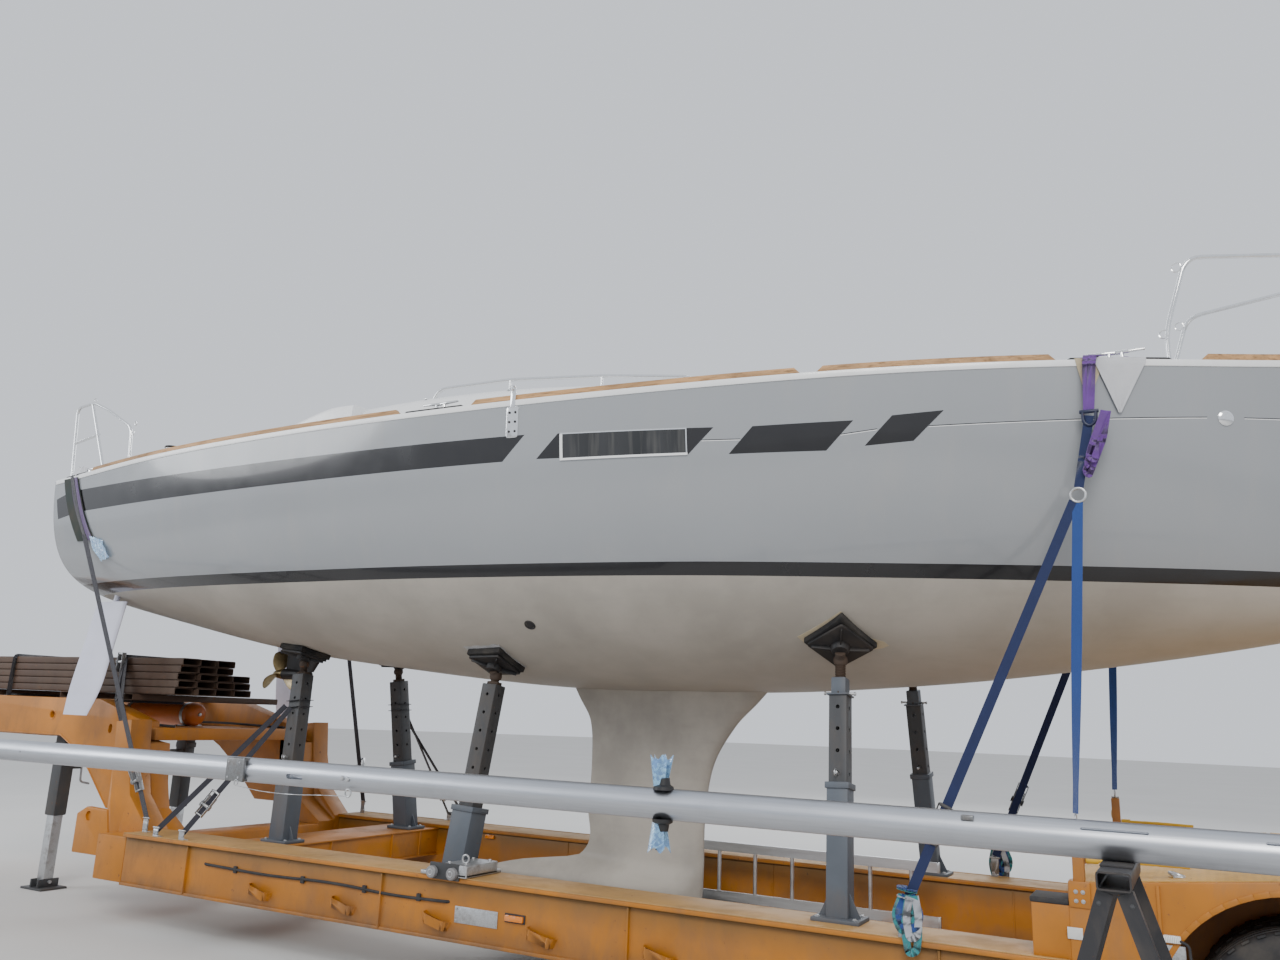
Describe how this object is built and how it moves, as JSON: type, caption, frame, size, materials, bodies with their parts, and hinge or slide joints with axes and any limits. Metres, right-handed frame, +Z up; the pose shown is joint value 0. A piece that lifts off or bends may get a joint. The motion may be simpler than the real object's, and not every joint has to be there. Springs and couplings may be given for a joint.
{
  "type": "sailing yacht on its road trailer",
  "caption": "Keel yacht with twin rudders and unstepped mast, propped on a low-bed road trailer, mast lying on trestles beside it.",
  "frame": {"origin": "on the ground under the middle of the object's bounding box, 4.3 m forward of the transom and 0.5 m to starboard of the yacht's centreline", "axes": "+X along the yacht from transom to stem, +Y to port, +Z up"},
  "size_m": [13.5, 4.4841, 4.337],
  "materials": {
    "hull_gelcoat": "light grey gelcoat, polished, with near-black vinyl bands",
    "deck_white": "white gelcoat",
    "keel_paint": "warm grey primer",
    "drive_paint": "black paint",
    "bronze": "cast bronze, dull",
    "rudder_paint": "pale lavender primer",
    "stainless": "polished stainless steel",
    "teak": "oiled teak",
    "smoked_acrylic": "dark smoked acrylic",
    "chrome": "chromed bronze",
    "anodised_spar": "satin anodised aluminium",
    "black_paint": "black paint, scuffed",
    "trailer_yellow": "orange-yellow machine paint, worn and dusty",
    "dark_steel": "dark weathered steel",
    "tyre": "black rubber",
    "blue_webbing": "blue polyester webbing",
    "dark_webbing": "dark webbing",
    "ladder_aluminium": "mill aluminium"
  },
  "bodies": {
    "yacht_on_trailer": {"hull": "hull_gelcoat", "deck_house": "deck_white", "keel": "keel_paint", "saildrive": "drive_paint", "tiller_post": "stainless", "toe_rail_starboard": "teak", "toe_rail_port": "teak", "bow_fitting": "stainless", "pulpit_starboard": "stainless", "pulpit_port": "stainless", "pushpit_starboard": "stainless", "pushpit_port": "stainless", "hand_rail_starboard": "stainless", "hand_rail_port": "stainless", "winch_starboard": "chrome", "winch_port": "chrome", "chain_plate_starboard": "stainless", "chain_plate_port": "stainless", "mast": "anodised_spar", "trestle_aft": "black_paint", "trestle_fore": "black_paint", "side_beam_starboard": "trailer_yellow", "side_beam_port": "trailer_yellow", "keel_bearer": "dark_steel", "fore_bearer": "dark_steel", "post_bearer": "trailer_yellow", "neck": "trailer_yellow", "landing_leg_starboard": "dark_steel", "landing_leg_port": "dark_steel", "air_tank": "trailer_yellow", "spare_beams": "dark_steel", "rear_deck": "trailer_yellow", "axle_first": "dark_steel", "axle_second": "dark_steel", "bow_lashing_starboard": "blue_webbing", "bow_lashing_port": "blue_webbing", "stern_lashing_starboard": "dark_webbing", "stern_lashing_port": "dark_webbing", "ladder": "ladder_aluminium", "prop_fore_starboard": "dark_steel", "prop_fore_port": "dark_steel", "prop_middle_starboard": "dark_steel", "prop_middle_port": "dark_steel", "prop_aft_starboard": "dark_steel", "prop_aft_port": "dark_steel"},
    "tiller_arm": {"tiller": "teak"},
    "rudder_blade_starboard": {"rudder_starboard": "rudder_paint"},
    "rudder_blade_port": {"rudder_port": "rudder_paint"},
    "screw": {"propeller": "bronze"},
    "bathing_door": {"transom_door": "hull_gelcoat"},
    "cabin_door": {"companionway_door": "smoked_acrylic"},
    "cabin_hatch": {"companionway_hatch": "smoked_acrylic"},
    "fore_hatch": {"roof_hatch": "smoked_acrylic"},
    "locker_lid": {"anchor_locker_lid": "deck_white"},
    "wheel_first_starboard": {"trailer_wheel_first_starboard": "tyre"},
    "wheel_first_port": {"trailer_wheel_first_port": "tyre"},
    "wheel_second_starboard": {"trailer_wheel_second_starboard": "tyre"},
    "wheel_second_port": {"trailer_wheel_second_port": "tyre"}
  },
  "joints": [
    {"name": "tiller_turn", "type": "hinge", "parent": "yacht_on_trailer", "child": "tiller_arm", "pos_m": [-3.97, 0.5, 3.46], "axis": [0, 0, 1], "range_deg": [-35, 35]},
    {"name": "rudder_starboard_turn", "type": "hinge", "parent": "yacht_on_trailer", "child": "rudder_blade_starboard", "pos_m": [-3.87, -0.49, 2.7], "axis": [0.0304, 0.1389, 0.9898], "range_deg": [-35, 35]},
    {"name": "rudder_port_turn", "type": "hinge", "parent": "yacht_on_trailer", "child": "rudder_blade_port", "pos_m": [-3.87, 1.49, 2.7], "axis": [0.0304, -0.1389, 0.9898], "range_deg": [-35, 35]},
    {"name": "propeller_spin", "type": "hinge", "parent": "yacht_on_trailer", "child": "screw", "pos_m": [-2.925, 0.5, 1.925], "axis": [1, 0, 0], "continuous": true},
    {"name": "transom_door_fold", "type": "hinge", "parent": "yacht_on_trailer", "child": "bathing_door", "pos_m": [-4.3, 0.5, 2.9003], "axis": [0, -1, 0], "range_deg": [0, 90]},
    {"name": "companionway_door_swing", "type": "hinge", "parent": "yacht_on_trailer", "child": "cabin_door", "pos_m": [-1.3203, 0.82, 3.7], "axis": [0, 0, -1], "range_deg": [0, 105]},
    {"name": "companionway_hatch_slide", "type": "slide", "parent": "yacht_on_trailer", "child": "cabin_hatch", "axis": [1, 0, 0], "range_m": [0, 0.55]},
    {"name": "roof_hatch_open", "type": "hinge", "parent": "yacht_on_trailer", "child": "fore_hatch", "pos_m": [2.26, 0.5, 3.8161], "axis": [0, 1, 0], "range_deg": [0, 80]},
    {"name": "anchor_locker_open", "type": "hinge", "parent": "yacht_on_trailer", "child": "locker_lid", "pos_m": [4.567, 0.5, 3.616], "axis": [0, -1, 0], "range_deg": [0, 80]},
    {"name": "wheel_first_starboard_spin", "type": "hinge", "parent": "yacht_on_trailer", "child": "wheel_first_starboard", "pos_m": [4.62, -0.477, 0.45], "axis": [0, 1, 0], "continuous": true},
    {"name": "wheel_first_port_spin", "type": "hinge", "parent": "yacht_on_trailer", "child": "wheel_first_port", "pos_m": [4.62, 1.477, 0.45], "axis": [0, 1, 0], "continuous": true},
    {"name": "wheel_second_starboard_spin", "type": "hinge", "parent": "yacht_on_trailer", "child": "wheel_second_starboard", "pos_m": [5.93, -0.477, 0.45], "axis": [0, 1, 0], "continuous": true},
    {"name": "wheel_second_port_spin", "type": "hinge", "parent": "yacht_on_trailer", "child": "wheel_second_port", "pos_m": [5.93, 1.477, 0.45], "axis": [0, 1, 0], "continuous": true}
  ],
  "couplings": [
    {"joint": "rudder_starboard_turn", "follows": "tiller_turn", "ratio": 1},
    {"joint": "rudder_port_turn", "follows": "tiller_turn", "ratio": 1}
  ]
}
